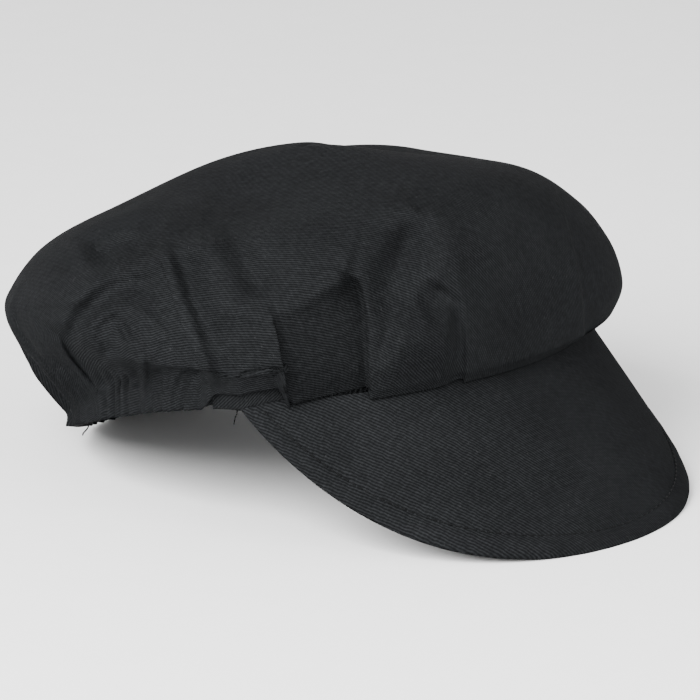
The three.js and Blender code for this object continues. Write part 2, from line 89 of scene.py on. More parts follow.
def peak_height(x, y):
    arch = PEAK["arch"] - np.sqrt(PEAK["arch"] ** 2 - x ** 2)
    return PEAK["seam"] + (y + RIM["front"]) * math.tan(PEAK["slope"]) - arch


def clear_height(x, y):
    across = x / np.sqrt(PEAK["arch"] ** 2 - x ** 2)
    return peak_height(x, y) + GAP * np.sqrt(1 + across ** 2 + math.tan(PEAK["slope"]) ** 2)


CORNER_X = PEAK["arch"] * math.sin(PEAK["half"] / PEAK["arch"])
CORNER_ANGLE = math.asin(CORNER_X / RIM["half"])
CORNER_Y = -RIM["front"] * math.cos(CORNER_ANGLE)
CORNER_Z = float(peak_height(CORNER_X, CORNER_Y))


# The rim where band and peak meet, by angle: 0 in front, positive on the wearer's right, in radians
def rim_point(angle):
    angle = np.arctan2(np.sin(angle), np.cos(angle))
    turn = np.abs(angle)
    side = -np.sign(angle)
    near = np.minimum(turn, CORNER_ANGLE)
    fx, fy = RIM["half"] * np.sin(near), -RIM["front"] * np.cos(near)
    share = np.clip((turn - CORNER_ANGLE) / (math.pi - CORNER_ANGLE), 0, 1)
    along = np.clip(np.sin(share * math.pi / 2), 0, 1)
    oval = RIM["side"] * np.sqrt(1 - along ** RIM["round"])
    bx = mix(oval, CORNER_X, (1 - along) ** 3)
    by = mix(CORNER_Y, RIM["back"], along)
    bz = mix(CORNER_Z, RIM["low"], along ** RIM["fall"])
    front = turn <= CORNER_ANGLE
    z = np.where(front, peak_height(np.where(front, fx, 0), fy), bz)
    return stack(side * np.where(front, fx, bx), np.where(front, fy, by), z)


def flat_outward(p):
    return unit(p * np.array([1.0, 1.0, 0.0]))


def section_point(row, angle):
    _, front, side, back, front_z, side_z, back_z = row
    c = np.cos(angle)
    ahead = c > 0
    out = 1 + np.where(ahead, *SQUARENESS) * np.sin(2 * angle) ** 2
    y = -np.where(ahead, front, back) * out * c
    return stack(-side * out * np.sin(angle), y, mix(side_z, np.where(ahead, front_z, back_z), c * c))


def raised(p, out, up):
    """Points moved outward on the level, and upward."""
    return p + flat_outward(p) * out[..., None] + stack(0 * up, 0 * up, up)


def crown_edge(angle):
    p = rim_point(angle)
    turn = np.abs(angle)
    drawn = smooth(turn, *HEM["drawn"])
    out = mix(COVER["reach"], HEM["wedge_out"], smooth(turn, *COVER["close"]))
    edge = raised(p, mix(out, HEM["out"], drawn), 0 * turn)
    # In front the edge lies on the peak, and behind it stands on the ground or above it
    safe = turn < COVER["lift"][1]
    on_peak = np.where(safe, clear_height(np.where(safe, edge[..., 0], 0), edge[..., 1]), 0)
    above = np.maximum(p[..., 2] + mix(HEM["wedge"], HEM["low"], drawn), GROUND + 0.05)
    edge[..., 2] = mix(on_peak, above, smooth(turn, *COVER["lift"]))
    return edge


def crown_base(angle, rise):
    """The crown before its folds, by angle and share of the way up."""
    angle, rise = np.broadcast_arrays(np.asarray(angle, float), np.asarray(rise, float))
    turn = np.abs(angle)
    edge = crown_edge(angle)
    behind = smooth(turn, COLLAR["start"], COLLAR["end"])
    drawn = smooth(turn, *HEM["drawn"])
    out = mix(COLLAR["front_out"], COLLAR["back_out"], behind)
    up = mix(COLLAR["front_up"], COLLAR["back_up"], behind)
    hem = raised(edge, mix(out * 0.5, 0 * out, drawn), mix(up * 0.5, HEM["height"], drawn))
    overhang = HEM["overhang"] * smooth(turn, *HEM["hangs"]) * (1 - drawn)
    covered = mix(HEM["wedge_up"], HEM["height"], drawn) * smooth(turn, *COVER["lift"])
    first = raised(edge, out - HEM["inset"] * drawn + overhang, up + covered)
    rings = [section_point(row, angle) for row in SECTIONS]
    top = np.broadcast_to(APEX, edge.shape)
    beyond = section_point(SECTIONS[-1], angle + math.pi)
    points = np.stack([2 * edge - hem, edge, hem, first, *rings, top, beyond])
    rises = [row[0] for row in SECTIONS]
    knots = np.array([-HEM["rise"], 0, HEM["rise"], COLLAR["rise"], *rises, 1, 2 - rises[-1]])
    i = np.clip(np.searchsorted(knots, rise, side="left") - 1, 1, len(knots) - 3)

    def pick(k):
        return np.take_along_axis(points, np.broadcast_to(k[None, ..., None], (1,) + edge.shape), 0)[0]

    span = (knots[i + 1] - knots[i])[..., None]
    s = ((rise - knots[i]) / span[..., 0])[..., None]
    a, b = pick(i), pick(i + 1)
    slope_a = (b - pick(i - 1)) / (knots[i + 1] - knots[i - 1])[..., None]
    slope_b = (pick(i + 2) - a) / (knots[i + 2] - knots[i])[..., None]
    start = (1 + 2 * s) * (1 - s) ** 2 * a + s * (1 - s) ** 2 * span * slope_a
    end = s * s * (3 - 2 * s) * b + s * s * (s - 1) * span * slope_b
    aside = (angle - SWELL["angle"]) / SWELL["spread"]
    above = (rise - SWELL["rise"]) / SWELL["rise_spread"]
    swollen = SWELL["amount"] * np.exp(-(aside ** 2 + above ** 2)) * smooth(rise, 0, SWELL["clear"])
    return start + end + stack(-np.sin(angle) * swollen, -np.cos(angle) * swollen, 0 * swollen)


# Steps along the rise and round the crown over which its direction is measured and evened out
NORMAL_STEP = 0.004
NORMAL_ASIDE = 0.035


def crown_normal(angle, rise):
    """The way out of the crown before its folds."""
    step = NORMAL_STEP
    r = np.minimum(rise, 1 - 2 * step)
    total = 0
    for aside in (-NORMAL_ASIDE, 0, NORMAL_ASIDE):
        a = angle + aside
        around = crown_base(a + step, r) - crown_base(a - step, r)
        up = crown_base(a, r + step) - crown_base(a, np.maximum(r - step, 0))
        total = total + unit(np.cross(up, around))
    return unit(total)


# The camera stands where the photograph's was, as worked out from the peak's outline, the hem and the resting
# points. Scale is in pixels for each mm at the aim, which shows at the pixel.
CAMERA = dict(turn=rad(50.45), elevation=rad(16.03), distance=1400.0, scale=3.32, pixel=(290.69, 319.98))
AIM = np.array([0, 0, 40.0])
VIEW_RIGHT = np.array([math.cos(CAMERA["turn"]), -math.sin(CAMERA["turn"]), 0])
VIEW_UP = np.array([
    math.sin(CAMERA["elevation"]) * math.sin(CAMERA["turn"]),
    math.sin(CAMERA["elevation"]) * math.cos(CAMERA["turn"]),
    math.cos(CAMERA["elevation"]),
])
VIEW_BACK = np.cross(VIEW_RIGHT, VIEW_UP)


def picture_place(p):
    """Where points in mm show in the picture, in pixels."""
    q = p - AIM
    scale = CAMERA["scale"] * CAMERA["distance"] / (CAMERA["distance"] - q @ VIEW_BACK)
    u, v = CAMERA["pixel"]
    return np.stack([u + q @ VIEW_RIGHT * scale, v - q @ VIEW_UP * scale], -1)


def ridge(path, height, right, left, fade=(0.3, 0.3), pair=0.8):
    """A fold that stands out along its path, or is sunk where its height is negative."""
    return dict(kind="ridge", path=path, height=height, right=right, left=left, fade=fade, pair=pair)


# Folds. A path runs through places in the picture, in pixels, and height is in mm, outward positive. Right
# and left are widths in mm on either side for one who walks the path. Fade is the share of the path over
# which the fold dies out at its start and end, and pair the share that its copy on the unseen side has.
# A step is a pleat's edge, low on the walker's right over the far distance, and its two sides slide over
# each other by lap. A pocket is a panel pushed in between its path, its end and its top. Near is how soft an
# edge is.
FOLDS = [
    # First pleat, on the wearer's right, with two small tents behind it
    dict(kind="step", height=-1.6, near=1.1, far=9, lap=0, fade=(0.35, 0), pair=0,
         path=[(452, 262), (459, 290), (464, 320), (466, 350), (464, 380)]),
    ridge([(421, 208), (438, 220), (450, 240), (456, 262), (461, 290)],
          height=1.4, right=5, left=4, fade=(0.1, 0.3), pair=0.2),
    ridge([(420, 206), (400, 222), (380, 241), (364, 260), (353, 277)],
          height=1.7, right=7, left=5, fade=(0.1, 0.15), pair=0.2),
    ridge([(418, 210), (408, 243), (397, 275), (386, 302), (377, 332)],
          height=-6.2, right=6.5, left=4.6, fade=(0.25, 0.35), pair=0.3),
    ridge([(413, 296), (427, 281), (442, 271), (452, 279), (460, 300), (464, 322)],
          height=1.3, right=3, left=3.4, fade=(0.25, 0.3), pair=0.3),
    ridge([(446, 283), (434, 299), (418, 309)], height=-3.0, right=6, left=5, fade=(0.3, 0.4), pair=0.3),
    ridge([(386, 330), (408, 337), (436, 338), (460, 340)],
          height=6, right=7, left=6.5, fade=(0.3, 0.2), pair=0.3),
    # First pleat on the wearer's left
    dict(kind="step", height=-2.0, near=0.8, far=12, lap=0.9, fade=(0, 0.3), pair=0,
         path=[(586, 345), (584, 322), (580, 285), (572, 245), (561, 205), (550, 170)]),
    # Second pleat, a panel that is pushed in, with the lit cloth above it
    dict(kind="pocket", height=-3.3, near=0.8, soft=2.6, lap=0.8, fade=(0, 0.35), pair=0.8,
         path=[(262, 292), (268, 306), (273, 320), (278, 340), (282, 360), (286, 380), (289, 400)],
         end=[(352, 276), (360, 284), (365, 300), (367, 330), (368, 360), (369, 390)],
         top=[(276, 321), (300, 309), (322, 296), (352, 277)]),
    ridge([(370, 292), (373, 320), (374, 352)], height=1.0, right=2, left=4, fade=(0.2, 0.3), pair=0.4),
    ridge([(236, 232), (275, 249), (312, 264), (352, 277)],
          height=2.8, right=6.5, left=11, fade=(0.3, 0.1), pair=0.3),
    ridge([(279, 320), (300, 309), (324, 296), (350, 280)],
          height=1.2, right=3, left=7, fade=(0.2, 0.1), pair=0.3),
    # The third fold and the groove that runs up from it
    ridge([(262, 296), (270, 318), (276, 338), (280, 356), (283, 374), (286, 392)],
          height=2.2, right=4.5, left=2, fade=(0.2, 0.05), pair=0.6),
    ridge([(223, 208), (231, 234), (240, 253), (249, 271), (259, 286), (265, 300)],
          height=-3.2, right=4.4, left=3.6, fade=(0.3, 0.2), pair=0.7),
    ridge([(204, 222), (214, 260), (228, 300), (242, 336)], height=5.0, right=8, left=9, fade=(0.25, 0.3)),
    # The long hooding fold beyond the pleats
    dict(kind="step", height=-2.3, near=0.7, far=8, lap=0.8, fade=(0.2, 0.35), pair=0.8,
         path=[(156, 252), (163, 268), (170, 288), (176, 308),
               (184, 330), (194, 354), (204, 376), (212, 392)]),
    ridge([(156, 240), (164, 252), (174, 276), (182, 300), (191, 322), (200, 346), (209, 372), (216, 392)],
          height=4.2, right=3.4, left=2.2, fade=(0.2, 0.1)),
    ridge([(183, 242), (186, 266), (192, 290), (200, 312), (208, 332), (216, 352)],
          height=-3.4, right=4.4, left=5, fade=(0.25, 0.2)),
    ridge([(158, 242), (168, 222), (184, 210), (203, 205), (221, 210)],
          height=1.4, right=6, left=6, pair=0.6),
    ridge([(76, 229), (104, 220), (132, 210), (150, 199), (176, 186)],
          height=1.7, right=3.5, left=1.6, fade=(0.2, 0.3), pair=0.5),
    # The hollow above the gathers and the folds that run round them
    ridge([(80, 262), (104, 250), (134, 242), (160, 252)],
          height=-6.5, right=5.5, left=6.5, fade=(0.35, 0.35)),
    ridge([(64, 262), (58, 290), (58, 312)], height=2.2, right=7, left=7),
    ridge([(55, 333), (65, 315), (79, 298), (96, 284), (114, 275), (135, 270), (160, 267)],
          height=2.8, right=2.8, left=4.5, fade=(0.1, 0.2)),
    ridge([(65, 347), (75, 329), (87, 312), (101, 297), (116, 287), (133, 281), (147, 292), (152, 305)],
          height=-2.0, right=3.2, left=3.0, fade=(0.1, 0.25)),
    ridge([(74, 352), (86, 333), (100, 318), (117, 306), (134, 298)],
          height=2.6, right=2.2, left=2, fade=(0.15, 0.25)),
    ridge([(96, 334), (108, 321), (122, 314)], height=-1.2, right=1.8, left=1.8),
    ridge([(136, 300), (141, 311), (153, 323), (166, 333), (181, 348), (192, 353)],
          height=1.4, right=1.7, left=1.5, fade=(0.2, 0.6)),
    ridge([(124, 318), (131, 326), (134, 339)], height=1.3, right=1.6, left=1.7, fade=(0.2, 0.4)),
    ridge([(118, 321), (125, 333), (131, 345)], height=-1.8, right=1.3, left=1.2),
    ridge([(89, 332), (94, 344), (106, 356)], height=1.4, right=1.8, left=1.6, fade=(0.15, 0.4)),
    ridge([(98, 338), (106, 350), (115, 364), (117, 386)], height=-1.0, right=1.4, left=1.6),
    # Upright creases that run down into the hem
    ridge([(122, 336), (132, 356), (138, 374), (141, 392), (142, 404)],
          height=-0.6, right=1.1, left=1.3, fade=(0.35, 0.3)),
    ridge([(140, 341), (148, 358), (152, 376), (149, 392), (148, 402)],
          height=-0.6, right=1.4, left=1.2, fade=(0.35, 0.3)),
    ridge([(132, 346), (142, 364), (146, 384), (145, 398)], height=1.6, right=1.4, left=1.4, fade=(0.4, 0)),
    ridge([(158, 337), (160, 354), (159, 372)], height=-0.8, right=1.2, left=1.2, fade=(0.3, 0.4)),
    ridge([(188, 350), (194, 364), (196, 380), (192, 396)],
          height=-0.4, right=1.6, left=1.6, fade=(0.3, 0.2)),
    ridge([(104, 352), (118, 370), (127, 392)], height=2.0, right=2.2, left=2.2, fade=(0.3, 0.1)),
    ridge([(166, 346), (173, 368), (170, 394)], height=1.0, right=3, left=3, fade=(0.3, 0.1)),
    # The back's edge, which laps over the gathers
    dict(kind="step", height=-1.9, near=0.8, far=5, lap=0.3, fade=(0.2, 0.3), pair=0.8,
         path=[(110, 397), (98, 387), (84, 373), (72, 359), (63, 345), (56, 331)]),
]


MIRROR = np.array([-1.0, 1.0, 1.0])
PATH_POINTS = 33
# A fold has its full height where the cloth faces the camera by the full share. Where it faces the camera by
# less than the least share, the fold is pushed no further towards it.
FACING = dict(full=0.3, least=0.5)
CREST = 0.22  # share of a ridge's width over which its crest is rounded
LAP = dict(edge=0.5, reach=3.0)  # mm beside a pleat's edge over which its lap begins and dies out
POCKET_DEPTHS = (0.5, 1.2)  # shares of a pocket's height at its path and at its end


def curve_through(points, count):
    """Points along a smooth curve through a path's points."""
    p = np.array(points, float)
    q = np.vstack([2 * p[0] - p[1], p, 2 * p[-1] - p[-2]])
    t = np.linspace(0, len(p) - 1, count)
    i = np.minimum(t.astype(int), len(p) - 2)
    s = (t - i)[:, None]
    a, b, c, d = q[i], q[i + 1], q[i + 2], q[i + 3]
    straight = 2 * b + (c - a) * s
    bent = (2 * a - 5 * b + 4 * c - d) * s ** 2 + (3 * b - 3 * c + d - a) * s ** 3
    return 0.5 * (straight + bent)


def fade_at(fade, along):
    start, end = fade
    strength = np.ones_like(along)
    if start:
        strength = strength * smooth(along, 0, start)
    if end:
        strength = strength * smooth(1 - along, 0, end)
    return strength


def from_path(path, places):
    """Signed distance of places from a path in mm, their share along it, and the way to them."""
    trace = curve_through(path, PATH_POINTS)
    best = np.full(len(places), 1e9)
    share, sign = np.zeros(len(places)), np.ones(len(places))
    away = np.zeros_like(places)
    for i in range(len(trace) - 1):
        run = trace[i + 1] - trace[i]
        length = np.linalg.norm(run)
        run = run / length
        d = places - trace[i]
        along = d @ run
        side = np.sign(run[0] * d[:, 1] - run[1] * d[:, 0])
        t = np.clip(along, 0, length)
        d = d - t[:, None] * run
        distance = np.hypot(d[:, 0], d[:, 1])
        nearer = distance < best
        best = np.where(nearer, distance, best)
        share = np.where(nearer, (i + t / length) / (len(trace) - 1), share)
        sign = np.where(nearer, side, sign)
        away[nearer] = d[nearer]
    return sign * best / CAMERA["scale"], share, unit(away)


def within_cloth(away, normal):
    """A direction in the picture, turned into one that lies in the cloth."""
    way = away[:, :1] * VIEW_RIGHT - away[:, 1:] * VIEW_UP
    return unit(way - normal * np.einsum("ij,ij->i", way, normal)[:, None])


def in_pocket(fold, places):
    """Share to which places lie in a pocket: within all its edges, below its top, and how far across it."""
    s, _, _ = from_path(fold["path"], places)
    s2, _, _ = from_path(fold["end"], places)
    s3, _, _ = from_path(fold["top"], places)
    under = smooth(s3, -fold["soft"], fold["soft"])
    near = fold["near"]
    inside = smooth(-s, -near, near) * smooth(s2, -near, near) * under
    return inside, under, np.clip(-s / np.maximum(np.abs(s) + np.abs(s2), 0.1), 0, 1)


def seen_share(normal):
    """Share of its height that a fold has, by how far the cloth faces the camera."""
    return smooth(normal @ VIEW_BACK, 0.0, FACING["full"])


def pocket_shade_share(p, normal):
    """Share to which each point lies in the pushed-in pocket panels, which get painted shade."""
    total = np.zeros(len(p))
    for fold in FOLDS:
        if fold["kind"] != "pocket":
            continue
        for flip in (np.ones(3), MIRROR):
            total = total + in_pocket(fold, picture_place(p * flip))[0] * seen_share(normal * flip)
    return np.clip(total, 0, 1)


def fold_shift(fold, p, normal):
    """What a fold adds to each point of the crown: towards the camera, and within the cloth as a lap."""
    places = picture_place(p)
    line = np.array(fold["path"] + fold.get("end", []), float)
    widest = max(fold.get("far", 4), fold.get("left", 0), fold.get("right", 0))
    reach = 3.0 * CAMERA["scale"] * widest
    facing = normal @ VIEW_BACK
    close = np.all((places > line.min(0) - reach) & (places < line.max(0) + reach), axis=1) & (facing > 0)
    shift = np.zeros_like(p)
    n, q = normal[close], places[close]
    seen = seen_share(n)
    steeper = 1 / np.maximum(facing[close], FACING["least"])
    s, share, away = from_path(fold["path"], q)
    fade = fade_at(fold["fade"], share) * seen
    if fold["kind"] == "ridge":
        width = np.where(s > 0, fold["right"], fold["left"])
        crest = CREST * width
        rounded = np.sqrt(s ** 2 + crest ** 2) - crest
        out = fold["height"] * np.exp(-(rounded / width) ** 1.5) * fade
        shift[close] = (out * steeper)[:, None] * VIEW_BACK
        return shift
    near = fold["near"]
    push = -fold["lap"] * np.tanh(np.abs(s) / LAP["edge"]) * np.exp(-(s / LAP["reach"]) ** 2) * fade
    if fold["kind"] == "step":
        level = np.exp(-(np.maximum(s, 0) / fold["far"]) ** 2)
        out = fold["height"] * smooth(s, -near, near) * level * fade
    else:
        inside, under, across = in_pocket(fold, q)
        out = fold["height"] * inside * mix(*POCKET_DEPTHS, across) * seen
        push = push * under
    shift[close] = (out * steeper)[:, None] * VIEW_BACK + within_cloth(away, n) * push[:, None]
    return shift


def all_folds(p, normal):
    """The folds that the picture shows, and copies of them where the crown faces away from the camera."""
    hidden = 1 - smooth(normal @ VIEW_BACK, -FACING["full"], 0.0)
    total = np.zeros_like(p)
    for fold in FOLDS:
        total = total + fold_shift(fold, p, normal)
        if fold["pair"]:
            copy = fold_shift(fold, p * MIRROR, normal * MIRROR) * MIRROR
            total = total + copy * (hidden * fold["pair"])[:, None]
    return total


# Columns of the crown between one angle and the next, in degrees, from the centre back round to it again
COLUMNS = [(-180, 88), (-110, 60), (-60, 84), (12, 254), (112, 88), (180, 0)]
CROWN_ROWS = 122
INNER_ROWS = 44


NOISE_WAVES = 7
NOISE_RATES = (0.6, 2.0)


def soft_noise(a, b, seed):
    """A smooth field of about unit size over two coordinates, from a few seeded waves."""
    draw = np.random.default_rng(seed)
    total = 0
    for _ in range(NOISE_WAVES):
        turn = draw.uniform(0, 2 * math.pi)
        rate = draw.uniform(*NOISE_RATES)
        phase = draw.uniform(0, 2 * math.pi)
        total = total + np.sin((a * math.cos(turn) + b * math.sin(turn)) * rate + phase)
    return total / math.sqrt(NOISE_WAVES / 2)


def rim_length(angle):
    """Distance along the rim from the front, in mm, signed as the angle is."""
    steps = np.linspace(0, math.pi, 721)
    run = np.linalg.norm(np.diff(rim_point(steps), axis=0), axis=1)
    return np.sign(angle) * np.interp(np.abs(angle), steps, np.concatenate([[0], np.cumsum(run)]))


# The hem's gathers: pitch and depth in mm of the small ones and of the broad ones below them, the depth of a
# gather's middle, how far they drift along the hem, and the angles over which they begin and end
HEM_WAVE = dict(
    pitch=3.5, depth=1.25, broad_pitch=12.3, broad_depth=0.35, middle=0.55, drift=1.3,
    begin=(rad(67), rad(72)), end=(rad(177.5), rad(179.5)),
)


def hem_wave(angle):
    """The small gathers that the elastic draws into the hem, in mm."""
    along = rim_length(angle)
    turn = np.abs(angle)
    drift = HEM_WAVE["drift"] * soft_noise(along / 9, 0 * along, 61)
    crest = np.abs(np.cos(math.pi * (along + drift) / HEM_WAVE["pitch"])) ** 0.75
    strength = np.maximum(0.8 + 0.35 * soft_noise(along / 7, 0 * along, 63), 0.5)
    small = HEM_WAVE["depth"] * (crest - HEM_WAVE["middle"]) * strength
    broad = HEM_WAVE["broad_depth"] * np.cos(2 * math.pi * (along + 2 * drift) / HEM_WAVE["broad_pitch"])
    return (small + broad) * smooth(turn, *HEM_WAVE["begin"]) * (1 - smooth(turn, *HEM_WAVE["end"]))


# Larger gathers above the hem: the size and depth of each kind in mm, and the rise that it reaches
GATHERS = [
    dict(size=7.6, depth=0.9, top=0.17, seed=12),
    dict(size=15.0, depth=1.1, top=0.30, seed=13),
]
GATHERED = dict(
    hem=1.9, hem_ends=(0.04, 0.11), starts=(0.02, 0.07), begin=(rad(66), rad(74)),
    drawn=0.75, drawn_begin=(rad(64), rad(72)), drawn_end=(rad(104), rad(116)),
)


def gathers(angle, rise):
    """Folds above the hem, in sizes that die out one above the other, and low where the drawn folds lie."""
    along = rim_length(angle)
    lean = rise * 0.45 * soft_noise(along / 11, rise * 9, 5)
    total = GATHERED["hem"] * hem_wave(angle + lean) * (1 - smooth(rise, *GATHERED["hem_ends"]))
    drift = 1.6 * soft_noise(along / 14, rise * 8, 3) + 0.7 * soft_noise(along / 5, rise * 14, 4)
    drawn = smooth(angle, *GATHERED["drawn_begin"]) * (1 - smooth(angle, *GATHERED["drawn_end"]))
    shown = smooth(rise, *GATHERED["starts"]) * (1 - GATHERED["drawn"] * drawn)
    for kind in GATHERS:
        size, seed = kind["size"], kind["seed"]
        top = kind["top"] * (1 + 0.45 * soft_noise(along / (size * 1.7), 0 * rise, seed))
        crest = np.abs(np.cos(math.pi * (along + drift * size / 6) / size)) ** 0.8
        strength = 0.75 + 0.35 * soft_noise(along / (size * 2.3), rise * 5, seed + 20)
        dies = 1 - smooth(rise, top * 0.35, np.maximum(top, 0.03))
        total = total + kind["depth"] * (crest - HEM_WAVE["middle"]) * strength * dies * shown
    return total * smooth(np.abs(angle), *GATHERED["begin"])


def wrinkles(rise, p):
    """Low waves of limp cloth all over."""
    q = p / 26.0
    low = soft_noise(q[:, 0] + q[:, 2] * 0.6, q[:, 1] - q[:, 2] * 0.8, 31)
    fine = soft_noise(q[:, 0] * 2.6 - q[:, 2], q[:, 1] * 2.6 + q[:, 2] * 1.4, 32)
    return (0.28 * low + 0.10 * fine) * smooth(rise, 0.02, 0.2)


# Even folds that the elastic draws into the back, by angle and rise
BACK_FOLDS = dict(count=26, depth=1.5, begin=(rad(108), rad(130)), starts=(0, 0.05), dies=(0.04, 0.34))
# How far a fold may go in at the crown's edge in mm, over the peak and behind it, and how much more higher up
ROOM = dict(front=1.8, behind=0.1, turns=(rad(50), rad(54)), slope=110, held=0.8)
# Rise over which outward folds die out towards the edge, over the peak and behind it, and their share there
OUTWARD = dict(front=0.04, behind=0.10, turns=(rad(51), rad(55)), start=0.02, edge=0.5, edge_rise=0.05)


def crown_surface(angle, rise):
    """Points of the crown's outer face with all of its folds."""
    shape = angle.shape
    angle, rise = angle.ravel(), rise.ravel()
    turn = np.abs(angle)
    p, normal = crown_base(angle, rise), crown_normal(angle, rise)
    low = (1 - smooth(rise, *BACK_FOLDS["dies"])) * smooth(rise, *BACK_FOLDS["starts"])
    even = np.cos(angle * BACK_FOLDS["count"]) * smooth(turn, *BACK_FOLDS["begin"])
    height = BACK_FOLDS["depth"] * even * low + gathers(angle, rise) + wrinkles(rise, p)
    folds = all_folds(p, normal) * mix(OUTWARD["edge"], 1, smooth(rise, 0, OUTWARD["edge_rise"]))[:, None]
    # Close to the hem, a fold goes in no further than to the band
    inward = -np.einsum("ij,ij->i", folds, normal)
    drawn = smooth(turn, *HEM["drawn"])
    room = mix(ROOM["front"], ROOM["behind"], smooth(turn, *ROOM["turns"]))
    room = room + ROOM["slope"] * np.maximum(rise - HEM["rise"] * drawn * ROOM["held"], 0)
    full = mix(OUTWARD["front"], OUTWARD["behind"], smooth(turn, *OUTWARD["turns"]))
    outward = smooth(rise, OUTWARD["start"] * drawn, full)
    share = np.where(inward > 0, np.minimum(1, room / np.maximum(inward, 0.01)), outward)
    p = p + normal * height[:, None] + folds * share[:, None]
    return p.reshape(shape + (3,))


def keep_above_peak(p, extra):
    over = (p[..., 1] < CORNER_Y) & (np.abs(p[..., 0]) < CORNER_X) & (p[..., 1] > -RIM["front"] - 8)
    low = clear_height(np.where(over, p[..., 0], 0), p[..., 1])
    p[..., 2] = np.where(over, np.maximum(p[..., 2], low + extra), p[..., 2])
    return p


def crown_columns():
    angles = [np.linspace(a, b, n, endpoint=False) for (a, n), (b, _) in zip(COLUMNS[:-1], COLUMNS[1:])]
    return np.radians(np.concatenate(angles))


def placed(name, data):
    obj = bpy.data.objects.new(name, data)
    bpy.context.collection.objects.link(obj)
    return obj


def mesh_object(name, points, faces, uv):
    """An object from points in mm, faces, and UV coordinates in mm for each point."""
    mesh = bpy.data.meshes.new(name)
    mesh.from_pydata(((points + SHIFT) / 1000).tolist(), [], faces)
    mesh.validate()
    mesh.polygons.foreach_set("use_smooth", [True] * len(mesh.polygons))
    layer = mesh.uv_layers.new(name="cloth")
    loops = np.empty(len(mesh.loops), int)
    mesh.loops.foreach_get("vertex_index", loops)
    layer.data.foreach_set("uv", uv[loops].ravel())
    obj = placed(name, mesh)
    return obj


def grid_faces(rows, columns, closed, first=0, flip=False):
    """Quads over rows of points; closed where the last column joins the first."""
    r = np.arange(rows - 1)[:, None] * columns
    c = np.arange(columns if closed else columns - 1)[None, :]
    d = (c + 1) % columns
    corners = np.broadcast_arrays(r + c, r + d, r + columns + d, r + columns + c)
    quad = np.stack(corners, -1).reshape(-1, 4) + first
    return (quad[:, ::-1] if flip else quad).tolist()


def disc_uv(angle, rise, p):
    """Where each point lies on the flat cloth, a disc round the apex, in mm; folds shift it a little."""
    smooth_steps = np.linalg.norm(np.diff(crown_base(angle, rise), axis=0), axis=-1)
    steps = mix(smooth_steps, np.linalg.norm(np.diff(p, axis=0), axis=-1), 0.2)
    up = np.concatenate([np.zeros((1, p.shape[1])), np.cumsum(steps, axis=0)])
    radius = up[-1:] - up
    return stack(-radius * np.sin(angle), -radius * np.cos(angle), 0 * angle)[..., :2]


def build_crown():
    share = np.arange(CROWN_ROWS) / CROWN_ROWS
    rise = np.minimum(0.62 * share + 0.38 * share ** 3, 0.995)
    angle, rises = np.meshgrid(crown_columns(), rise)
    outer = keep_above_peak(crown_surface(angle, rises), CLOTH * 0.6)
    normal = crown_normal(angle, rises)
    picked = np.unique(np.round(np.linspace(0, CROWN_ROWS - 1, INNER_ROWS)).astype(int))
    # The inner face stays behind the deepest fold near it
    base = crown_base(angle, rises)
    depth = np.einsum("ijk,ijk->ij", outer - base, normal)
    for _ in range(3):
        above, below = np.vstack([depth[1:], depth[-1:]]), np.vstack([depth[:1], depth[:-1]])
        depth = np.minimum(depth, np.minimum(above, below))
        depth = np.minimum(depth, np.minimum(np.roll(depth, 1, 1), np.roll(depth, -1, 1)))
    depth = np.maximum(depth, -12 * smooth(rises, 0, 0.1) - 1.5)
    thick = mix(0.6, CLOTH * 0.75, smooth(rises, 0.03, 0.08))
    inner = keep_above_peak((base + normal * (depth - thick)[..., None])[picked], 0)
    rows, columns = angle.shape
    points = np.vstack([outer.reshape(-1, 3), APEX[None], inner.reshape(-1, 3), (APEX - [0, 0, CLOTH])[None]])
    faces = grid_faces(rows, columns, True)
    top = rows * columns
    last = (rows - 1) * columns
    faces += [[last + j, last + (j + 1) % columns, top] for j in range(columns)]
    first = top + 1
    faces += grid_faces(len(picked), columns, True, first, flip=True)
    inner_top = first + len(picked) * columns
    inner_last = inner_top - columns
    faces += [[inner_last + (j + 1) % columns, inner_last + j, inner_top] for j in range(columns)]
    faces += [[(j + 1) % columns, j, first + j, first + (j + 1) % columns] for j in range(columns)]
    flat = disc_uv(angle, rises, outer)
    uv = np.vstack([flat.reshape(-1, 2), [[0, 0]], flat[picked].reshape(-1, 2), [[0, 0]]])
    # Painted shade for the pushed-in pocket panels, which darkens their colour
    pocket_shade = np.zeros(len(points))
    pocket_shade[:top] = pocket_shade_share(base.reshape(-1, 3), normal.reshape(-1, 3))
    return mesh_object("crown_cloth", points, faces, uv), pocket_shade


def peak_surface(across, down):
    """A point of the peak's upper face and the direction out of it."""
    turn = across / PEAK["arch"]
    cos, sin = math.cos(PEAK["slope"]), math.sin(PEAK["slope"])
    p = stack(
        PEAK["arch"] * np.sin(turn),
        -RIM["front"] - down * cos,
        PEAK["seam"] - down * sin - PEAK["arch"] * (1 - np.cos(turn)),
    )
    normal = unit(stack(np.sin(turn) * cos, -np.cos(turn) * sin, np.cos(turn) * cos))
    return p, normal


def peak_edges(across):
    """Distance down the slope of the peak's seam and of its outer edge."""
    x = PEAK["arch"] * np.sin(across / PEAK["arch"])
    y = -RIM["front"] * np.sqrt(1 - (x / RIM["half"]) ** 2)
    seam = -(y + RIM["front"]) / math.cos(PEAK["slope"])
    corner = -(CORNER_Y + RIM["front"]) / math.cos(PEAK["slope"])
    bow = (1 - np.abs(across / PEAK["half"]) ** PEAK["side"]) ** (1 / PEAK["front"])
    return seam, mix(corner, PEAK["depth"], bow)


def peak_outline(count):
    across = -PEAK["half"] * np.cos(np.linspace(0.015, math.pi - 0.015, count))
    _, edge = peak_edges(across)
    return np.stack([across, edge], -1)


